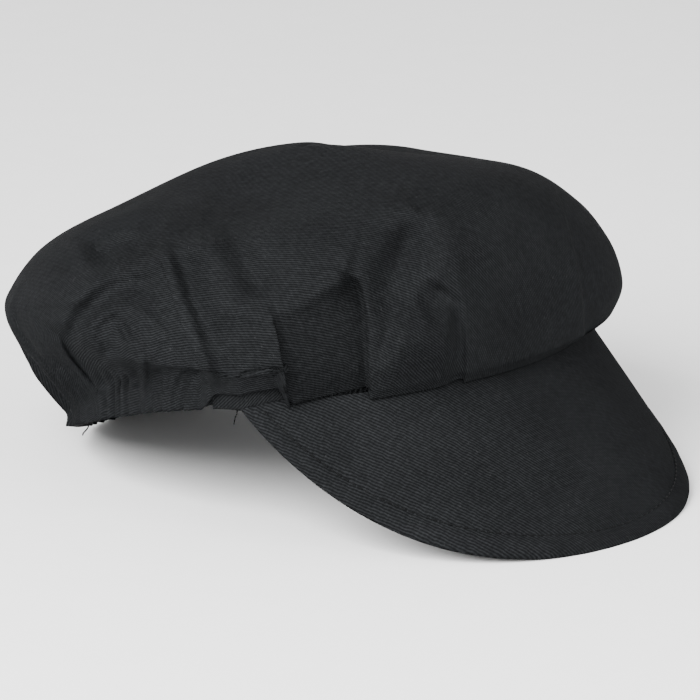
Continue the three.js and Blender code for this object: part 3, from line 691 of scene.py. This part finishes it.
def to_outline(flat):
    """Distance of points in the flat peak from its outer edge, in mm."""
    line = peak_outline(500)
    best = np.full(len(flat), 1e9)
    for a, b in zip(line[:-1], line[1:]):
        run = b - a
        t = np.clip(((flat - a) @ run) / (run @ run), 0, 1)
        best = np.minimum(best, np.linalg.norm(flat - a - t[:, None] * run, axis=1))
    return best


STITCH_INSET = 6.0


def build_peak():
    columns, face, nose = 220, 46, 9
    across = -PEAK["half"] * np.cos(np.linspace(0, math.pi, columns + 2)[1:-1])
    seam, edge = peak_edges(across)
    seam = seam - 0.4
    length = edge - seam
    half = PEAK["thick"] / 2
    round_in = np.minimum(2.2, length * 0.4)
    share = np.linspace(0, 1, face)
    turn = np.linspace(0, math.pi, nose + 2)[1:-1]
    down = [seam + (length - round_in) * s for s in share]
    lift = [0 * seam + half for _ in share]
    down += [edge - round_in + round_in * math.sin(t) for t in turn]
    lift += [0 * seam + half * math.cos(t) for t in turn]
    down += [seam + (length - round_in) * s for s in share[::-1]]
    lift += [0 * seam - half for _ in share]
    down, lift = np.array(down), np.array(lift)
    wide = np.broadcast_to(across, down.shape)
    flat = np.stack([wide, down], -1)
    inset = to_outline(flat.reshape(-1, 2)).reshape(down.shape)
    # The two layers are pressed thinner outside the stitches, and drawn in along them
    groove = 0.42 * np.exp(-((inset - STITCH_INSET) / 1.0) ** 2)
    welt = 0.22 * np.exp(-((inset - 3.2) / 1.7) ** 2)
    pressed = 0.38 * (1 - smooth(inset, 0.0, 2.2))
    pucker = 0.07 * soft_noise(wide / 2.3, down / 2.3, 41) * np.exp(-((inset - 4) / 4) ** 2)
    soft = 0.16 * soft_noise(wide / 17, down / 17, 42)
    sign = np.sign(lift)
    thick = lift + sign * (welt + pucker * 0.6 - groove - pressed * (np.abs(lift) > half * 0.9))
    p, normal = peak_surface(wide, down)
    p = p + normal * (thick + soft * 0.5 - half)[..., None]
    p[..., 2] = np.maximum(p[..., 2], GROUND)
    rows = len(down)
    faces = grid_faces(rows, columns, False)
    faces += [[j + 1, j, (rows - 1) * columns + j, (rows - 1) * columns + j + 1] for j in range(columns - 1)]
    for end, flip in ((0, False), (columns - 1, True)):
        loop = [i * columns + end for i in range(rows)]
        faces.append(loop if flip else loop[::-1])
    return mesh_object("peak_cloth", p.reshape(-1, 3), faces, flat.reshape(-1, 2))


def tube(path, radius, sides=6):
    """Points and faces of a thin round thread along a path; its ends are drawn in."""
    path = np.asarray(path, float)
    n = len(path)
    run = unit(np.gradient(path, axis=0))
    ref = np.array([0.13, 0.29, 0.95])
    a = unit(np.cross(run, ref))
    b = np.cross(run, a)
    size = np.full(n, radius)
    size[[0, -1]] *= 0.35
    t = np.linspace(0, 2 * math.pi, sides, endpoint=False)
    ring = a[:, None] * np.cos(t)[None, :, None] + b[:, None] * np.sin(t)[None, :, None]
    points = (path[:, None] + ring * size[:, None, None]).reshape(-1, 3)
    faces = grid_faces(n, sides, True)
    faces += [list(range(sides))[::-1], [(n - 1) * sides + i for i in range(sides)]]
    return points, faces


def threads(name, paths, radius):
    points, faces, start = [], [], 0
    for path in paths:
        p, f = tube(path, radius)
        points.append(p)
        faces += [[start + i for i in face] for face in f]
        start += len(p)
    points = np.vstack(points)
    return mesh_object(name, points, faces, points[:, :2])


def inset_line(inset):
    """The peak's outer edge moved inwards, in the flat peak."""
    line = peak_outline(1200)
    run = unit(np.gradient(line, axis=0))
    moved = line + np.stack([run[:, 1], -run[:, 0]], -1) * inset
    seam, _ = peak_edges(np.clip(moved[:, 0], -PEAK["half"] * 0.999, PEAK["half"] * 0.999))
    on_peak = (np.abs(moved[:, 0]) < PEAK["half"] * 0.995) & (moved[:, 1] > seam + 1.5)
    return moved[on_peak & (to_outline(moved) > inset * 0.97)]


def walk(line, step):
    """Points at even steps along a line."""
    d = np.concatenate([[0], np.cumsum(np.linalg.norm(np.diff(line, axis=0), axis=1))])
    t = np.arange(0, d[-1], step)
    return np.stack([np.interp(t, d, line[:, k]) for k in range(line.shape[1])], -1)


def thread_tail(start, direction, length, seed):
    """A short loose thread end from a point, in mm."""
    draw = np.random.default_rng(seed)
    p = np.array(start, float)
    run = unit(direction)
    path = [p.copy()]
    for i in range(12):
        run = unit(run + draw.normal(0, 0.22, 3) + [0, 0, -0.10])
        p = p + run * length / 12
        path.append(p.copy())
    return path


def build_peak_stitches():
    paths = []
    for side in (1, -1):
        line = walk(inset_line(STITCH_INSET), 3.1)
        for a, b in zip(line[:-1], line[1:]):
            t = np.linspace(0.08, 0.92, 6)
            flat = mix(a, b, t[:, None])
            p, normal = peak_surface(flat[:, 0], flat[:, 1])
            rise = 0.10 - 0.34 * np.abs(t * 2 - 1) ** 2.5
            half = PEAK["thick"] / 2
            paths.append(p + normal * (side * (half - 0.32 + rise) - half)[:, None])
    # Two loose thread ends at the hem: where the peak begins, and behind. They hang towards the camera.
    hang = -VIEW_RIGHT * 0.3 + VIEW_BACK * 0.5 - [0, 0, 0.9]
    for first, last, across, seed in ((50, 80, 238, 5), (90, 135, 90, 9)):
        rim = rim_point(np.radians(np.linspace(first, last, 300)))
        start = rim[np.argmin(np.abs(picture_place(rim)[:, 0] - across))]
        tail = np.array(thread_tail(start + [0, 0, 0.5], hang, 5.0, seed))
        tail[:, 2] = np.maximum(tail[:, 2], GROUND + 0.25)
        paths.append(tail)
    return threads("peak_stitches", paths, 0.22)


def strip_object(name, start, end, columns, profile):
    """A strip that stands on the rim between two angles. Profile gives rows of outward and upward shifts."""
    angle = np.linspace(start, end, columns + 1)
    wrapped = (angle + math.pi) % (2 * math.pi) - math.pi
    p = rim_point(wrapped)
    outward = flat_outward(p)
    along = np.concatenate([[0], np.cumsum(np.linalg.norm(np.diff(p, axis=0), axis=1))])
    out, up = profile(along, wrapped)
    points = p[None] + outward[None] * out[..., None] + stack(0 * up, 0 * up, up)
    points[..., 2] = np.maximum(points[..., 2], GROUND)
    rows, wide = out.shape
    last = (rows - 1) * wide
    faces = grid_faces(rows, wide, False)
    faces += [[j + 1, j, last + j, last + j + 1] for j in range(columns)]
    faces.append([i * wide for i in range(rows)][::-1])
    faces.append([i * wide + columns for i in range(rows)])
    uv = stack(along, up, 0 * up)[..., :2]
    return mesh_object(name, points.reshape(-1, 3), faces, uv.reshape(-1, 2))


STRIP_STEPS = 14


def strip_loop():
    """Round the strip's section: a share up the outer face and down the inner one, and where it is outer."""
    t = np.linspace(0, 1, STRIP_STEPS)
    up = np.concatenate([t, t[::-1]])
    outer = np.repeat([True, False], STRIP_STEPS)
    return up[:, None], outer[:, None]


def front_profile(along, angle):
    share, outer = strip_loop()
    up = -0.25 + share * (BAND["height"] + 0.2) + 0 * along
    rounded = 0.55 * np.abs(2 * share - 1) ** 8
    thick = BAND["thick"] - 0.25
    ripple = 0.10 * soft_noise(along[None] / 6, up / 5, 51)
    groove = 0.16 * np.exp(-((up - 2.0) / 0.45) ** 2) + 0.12 * np.exp(-((up - 6.6) / 0.5) ** 2)
    return np.where(outer, -0.05 - rounded - groove, rounded - thick) + ripple * 0.6, up


def elastic_profile(along, angle):
    share, outer = strip_loop()
    lean = 0.012 * soft_noise(along[None] / 5, share * 1.5, 62)
    wave = hem_wave(angle[None] + lean * (1 - share))
    hem = 0.25 * np.cos(2 * math.pi * along / 7.4) * (1 - share)
    up = np.minimum(share * (BAND["height"] - 0.5) + hem + 0.6, BAND["height"] - 0.1)
    low = 0.3 * np.clip(1 - share * 3, 0, 1) ** 4
    # The elastic's stitches draw the cloth in near both edges
    seams = 0.28 * np.exp(-((share - 0.2) / 0.07) ** 2) + 0.2 * np.exp(-((share - 0.9) / 0.05) ** 2)
    out = np.where(outer, -0.25 + wave * 0.3 - low - seams, -BAND["thick"] + wave * 0.7 + low)
    return out, up


def build_front_band():
    return strip_object("front_band_cloth", -BAND["plain_end"], BAND["plain_end"], 320, front_profile)


BAND_JOINT = rad(0.03)


def build_elastic_band():
    start = BAND["plain_end"] + BAND_JOINT
    return strip_object("elastic_band_cloth", start, 2 * math.pi - start, 1500, elastic_profile)


def add_wear_and_pocket_shade(obj, pocket_shade=0):
    """Stores how far each point stands out, where cloth rubs paler, and painted shade in the pocket panels.
    """
    mesh = obj.data
    count = len(mesh.vertices)
    p = np.empty(count * 3)
    n = np.empty(count * 3)
    mesh.vertices.foreach_get("co", p)
    mesh.vertices.foreach_get("normal", n)
    p, n = p.reshape(-1, 3) * 1000, n.reshape(-1, 3)
    ends = np.empty(len(mesh.edges) * 2, int)
    mesh.edges.foreach_get("vertices", ends)
    a, b = ends.reshape(-1, 2).T
    run = p[b] - p[a]
    length = np.maximum(np.linalg.norm(run, axis=1), 0.05)
    bend = np.zeros(count)
    weight = np.zeros(count)
    np.add.at(bend, a, -np.einsum("ij,ij->i", run, n[a]) / length)
    np.add.at(bend, b, np.einsum("ij,ij->i", run, n[b]) / length)
    np.add.at(weight, a, 1)
    np.add.at(weight, b, 1)
    bend = bend / np.maximum(weight, 1)
    for _ in range(3):
        total, near = bend.copy(), np.ones(count)
        np.add.at(total, a, bend[b])
        np.add.at(total, b, bend[a])
        np.add.at(near, a, 1)
        np.add.at(near, b, 1)
        bend = total / near
    # Painted shade: the pushed-in pocket panels are darkened in colour
    wear_and_pocket_shade = np.clip(bend * 3.2, 0, 1) - 0.65 * pocket_shade
    mesh.attributes.new("wear_and_pocket_shade", "FLOAT", "POINT").data.foreach_set("value", wear_and_pocket_shade)


class Nodes:
    """Short calls to build a material's nodes."""

    def __init__(self, name):
        self.material = bpy.data.materials.new(name)
        self.material.use_nodes = True
        self.tree = self.material.node_tree
        self.shader = self.tree.nodes["Principled BSDF"]

    def add(self, kind, inputs=(), **settings):
        node = self.tree.nodes.new(kind)
        for key, value in settings.items():
            setattr(node, key, value)
        for key, value in dict(inputs).items():
            if isinstance(value, bpy.types.NodeSocket):
                self.tree.links.new(value, node.inputs[key])
            else:
                node.inputs[key].default_value = value
        return node

    def math(self, kind, a, b=0.0, c=0.0):
        return self.add("ShaderNodeMath", {0: a, 1: b, 2: c}, operation=kind).outputs[0]

    def noise(self, vector, scale, detail=2.0, rough=0.5):
        inputs = {"Vector": vector, "Scale": scale, "Detail": detail, "Roughness": rough}
        return self.add("ShaderNodeTexNoise", inputs).outputs["Fac"]

    def vector(self, kind, a, b):
        return self.add("ShaderNodeVectorMath", {0: a, 1: b}, operation=kind).outputs[0]

    def scaled(self, vector, scale):
        return self.add("ShaderNodeVectorMath", {0: vector, "Scale": scale}, operation="SCALE").outputs[0]

    def turned(self, vector, angle):
        inputs = {"Vector": vector, "Angle": angle}
        return self.add("ShaderNodeVectorRotate", inputs, rotation_type="Z_AXIS").outputs[0]

    def ramp(self, value, low, high, to_low=0.0, to_high=1.0):
        inputs = {"Value": value, "From Min": low, "From Max": high, "To Min": to_low, "To Max": to_high}
        return self.add("ShaderNodeMapRange", inputs, clamp=True).outputs[0]

    def level(self, socket, value):
        self.shader.inputs[socket].default_value = value

    def link(self, output, socket):
        self.tree.links.new(output, self.shader.inputs[socket])


PITCH = 0.74  # mm from rib to rib
WEAVE = 0.13  # mm of height in the weave


def twill_material(name, colour, turn, rough=0.72):
    """Black cotton twill: slanting ribs of short floats, with fuzz, soft mottling, paler worn ridges, painted
    glints on the ribs and painted shade in the pocket panels.
    """
    n = Nodes(name)
    flat = n.add("ShaderNodeUVMap", uv_map="cloth").outputs[0]
    place = n.add("ShaderNodeTexCoord").outputs["Object"]
    wobble = n.add("ShaderNodeTexNoise", {"Vector": flat, "Scale": 0.22, "Detail": 2.0}).outputs["Color"]
    centred = n.vector("SUBTRACT", wobble, (0.5, 0.5, 0.5))
    turned = n.turned(n.vector("ADD", flat, n.scaled(centred, 0.9)), turn)
    axes = n.add("ShaderNodeSeparateXYZ", {0: turned})
    rib = n.math("SINE", n.math("MULTIPLY", axes.outputs[1], 2 * math.pi / PITCH))
    rib = n.math("MULTIPLY_ADD", rib, 0.5, 0.5)
    lean = n.math("MULTIPLY", axes.outputs[1], 3.1)
    float_phase = n.math("MULTIPLY_ADD", axes.outputs[0], 2 * math.pi / (PITCH * 2.3), lean)
    beads = n.math("MULTIPLY_ADD", n.math("SINE", float_phase), 0.5, 0.5)
    uneven = n.ramp(n.noise(flat, 0.55, 3.0), 0.35, 0.65, 0.55, 1.0)
    cloth = n.math("MULTIPLY", n.math("MULTIPLY_ADD", beads, 0.16, n.math("MULTIPLY", rib, 0.84)), uneven)
    fuzz = n.noise(place, 2600.0, 2.0, 0.7)
    crumple = n.noise(place, 150.0, 3.0, 0.55)
    height = n.math("MULTIPLY_ADD", fuzz, 0.35, cloth)
    height = n.math("MULTIPLY_ADD", crumple, 1.3, height)
    bump = n.add("ShaderNodeBump", {"Strength": 1.0, "Distance": WEAVE / 1000, "Height": height})
    n.link(bump.outputs[0], "Normal")
    # Colour: ribs paler than the gaps as painted glints on the ribs and painted shade in the gaps, uneven
    # dye, paler where folds rub, painted shade in the pushed-in pocket panels, and rare specks of lint
    broad = n.ramp(n.noise(place, 38.0, 4.0, 0.6), 0.3, 0.7, 0.86, 1.12)
    along_ribs = n.vector("MULTIPLY", turned, (0.12, 1.6, 1.0))
    streak = n.ramp(n.noise(along_ribs, 1.0, 2.0), 0.3, 0.7, 0.9, 1.12)
    # Ribs paler than the gaps: painted glints on the ribs and painted shade in the gaps
    rib_glint_and_gap_shade = n.ramp(cloth, 0.0, 1.0, 0.42, 1.58)
    wear_and_pocket_shade = n.add("ShaderNodeAttribute", attribute_name="wear_and_pocket_shade").outputs["Fac"]
    patchy = n.ramp(n.noise(place, 420.0, 3.0), 0.35, 0.65, 0.6, 1.0)
    # Paler where folds rub, and darker as painted shade in the pushed-in pocket panels
    rubbed_and_pocket_shade = n.math("MULTIPLY_ADD", n.math("MULTIPLY", wear_and_pocket_shade, patchy), 0.45, 1.0)
    shade = n.math("MULTIPLY", n.math("MULTIPLY", broad, streak), n.math("MULTIPLY", rib_glint_and_gap_shade, rubbed_and_pocket_shade))
    lint = n.ramp(n.noise(place, 900.0, 0.0), 0.83, 0.86, 0.0, 0.006)
    n.link(n.vector("ADD", n.scaled(colour, shade), lint), "Base Color")
    n.link(n.ramp(cloth, 0.0, 1.0, rough + 0.08, rough - 0.06), "Roughness")
    n.level("Specular IOR Level", 0.006)
    return n.material


def thread_material(name, colour):
    """Twisted sewing thread."""
    n = Nodes(name)
    place = n.add("ShaderNodeTexCoord").outputs["Object"]
    axes = n.add("ShaderNodeSeparateXYZ", {0: n.turned(place, 0.7)})
    across = n.math("MULTIPLY", n.math("ADD", axes.outputs[0], axes.outputs[2]), 2 * math.pi / 0.00042)
    ply = n.math("MULTIPLY_ADD", n.math("SINE", across), 0.5, 0.5)
    fuzz = n.noise(place, 3800.0, 2.0)
    height = n.math("MULTIPLY_ADD", fuzz, 0.5, ply)
    bump = n.add("ShaderNodeBump", {"Strength": 0.7, "Distance": 0.00006, "Height": height})
    n.link(bump.outputs[0], "Normal")
    uneven = n.ramp(n.noise(place, 300.0), 0.3, 0.7, 0.85, 1.15)
    n.link(n.scaled(colour, n.math("MULTIPLY", n.ramp(ply, 0.0, 1.0, 0.7, 1.25), uneven)), "Base Color")
    n.link(n.ramp(fuzz, 0.3, 0.7, 0.6, 0.75), "Roughness")
    n.level("Specular IOR Level", 0.04)
    n.level("Sheen Weight", 0.01)
    n.level("Sheen Roughness", 0.5)
    return n.material


def floor_material():
    """Plain pale paper."""
    n = Nodes("pale_paper")
    place = n.add("ShaderNodeTexCoord").outputs["Object"]
    grain = n.ramp(n.noise(place, 60.0, 3.0), 0.3, 0.7, 0.985, 1.0)
    n.link(n.scaled((0.93, 0.93, 0.93), grain), "Base Color")
    n.level("Roughness", 0.9)
    n.level("Specular IOR Level", 0.1)
    return n.material


def area_light(name, place, aim, size, power):
    light = bpy.data.lights.new(name, "AREA")
    light.shape = "RECTANGLE"
    light.size, light.size_y = size
    light.energy = power
    obj = placed(name, light)
    obj.location = place
    obj.rotation_mode = "QUATERNION"
    obj.rotation_quaternion = (Vector(aim) - Vector(place)).to_track_quat("-Z", "Y")


# The studio is a white room that is brightest near the ground
SKY_LOW = 2.4
SKY_HIGH = 0.6

FRAME_SIZE = 700
FRAME_MIDDLE = 350.0


def make_camera():
    target = AIM + SHIFT
    place = (target + VIEW_BACK * CAMERA["distance"]) / 1000
    aside, below = (FRAME_MIDDLE - np.array(CAMERA["pixel"])) / CAMERA["scale"]
    aim = target + VIEW_RIGHT * aside - VIEW_UP * below
    data = bpy.data.cameras.new("camera")
    data.sensor_width = 36
    data.lens = CAMERA["scale"] * CAMERA["distance"] * data.sensor_width / FRAME_SIZE
    data.clip_start, data.clip_end = 0.05, 20
    obj = placed("camera", data)
    ahead = unit(aim / 1000 - place)
    side = unit(np.cross(ahead, VIEW_UP))
    rows = np.stack([side, np.cross(side, ahead), -ahead], 1)
    obj.matrix_world = Matrix.Translation(Vector(place)) @ Matrix(rows.tolist()).to_4x4()
    bpy.context.scene.camera = obj


make_camera()

twill = twill_material("black_twill", (0.00888, 0.00935, 0.00996), rad(-115))
peak_twill = twill_material("black_twill_on_board", (0.00888, 0.00935, 0.00996), rad(-61), rough=0.86)
band_twill = twill_material("black_twill_band", (0.00846, 0.00893, 0.00949), rad(40))
thread = thread_material("black_thread", (0.0045, 0.0047, 0.0050))

# The crown's second value is the painted shade of its pushed-in pocket panels
crown, crown_pocket_shade = build_crown()
peak = build_peak()
front_band = build_front_band()
elastic_band = build_elastic_band()
peak_stitches = build_peak_stitches()

# Each part stores its wear, and the crown also stores its painted pocket shade
for obj, node, material, finish, pocket_shade in (
    (crown, "crown", twill, "twill", crown_pocket_shade),
    (peak, "peak", peak_twill, "peak_twill", 0),
    (front_band, "front_band", band_twill, "band_twill", 0),
    (elastic_band, "elastic_band", band_twill, "band_twill", 0),
):
    add_wear_and_pocket_shade(obj, pocket_shade)
    obj.data.materials.append(material)
    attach(obj, "root")
    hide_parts(node)
peak_stitches.data.materials.append(thread)
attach(peak_stitches, "root")

bpy.ops.mesh.primitive_plane_add(size=6, location=(0, 0, 0))
floor = bpy.context.object
floor.name = "floor"
floor.data.materials.append(floor_material())

world = bpy.data.worlds.new("studio")
bpy.context.scene.world = world
world.use_nodes = True
tree = world.node_tree
backdrop = tree.nodes["Background"]
backdrop.inputs["Color"].default_value = (1, 1, 1, 1)
sky = tree.nodes.new("ShaderNodeTexCoord")
heights = tree.nodes.new("ShaderNodeSeparateXYZ")
fade = tree.nodes.new("ShaderNodeMapRange")
tree.links.new(sky.outputs["Generated"], heights.inputs[0])
tree.links.new(heights.outputs["Z"], fade.inputs["Value"])
tree.links.new(fade.outputs[0], backdrop.inputs["Strength"])
for socket, value in (("From Min", 0.1), ("From Max", 0.9), ("To Min", SKY_LOW), ("To Max", SKY_HIGH)):
    fade.inputs[socket].default_value = value

middle = (0, 0, 0.05)


def around_camera(aside, above, towards, distance=1.3):
    """A place seen from the middle: to the camera's right, up, and towards it."""
    d = unit(VIEW_RIGHT * aside + VIEW_UP * above + VIEW_BACK * towards)
    return tuple(np.array(middle) + d * distance)


area_light("key", around_camera(-0.5, 0.42, 0.8), middle, (0.9, 0.8), 52)
area_light("fill", around_camera(0.6, 0.2, 0.8), middle, (1.0, 0.8), 13)
area_light("rim", around_camera(-0.75, 0.45, -0.9), middle, (0.5, 0.3), 0.3)
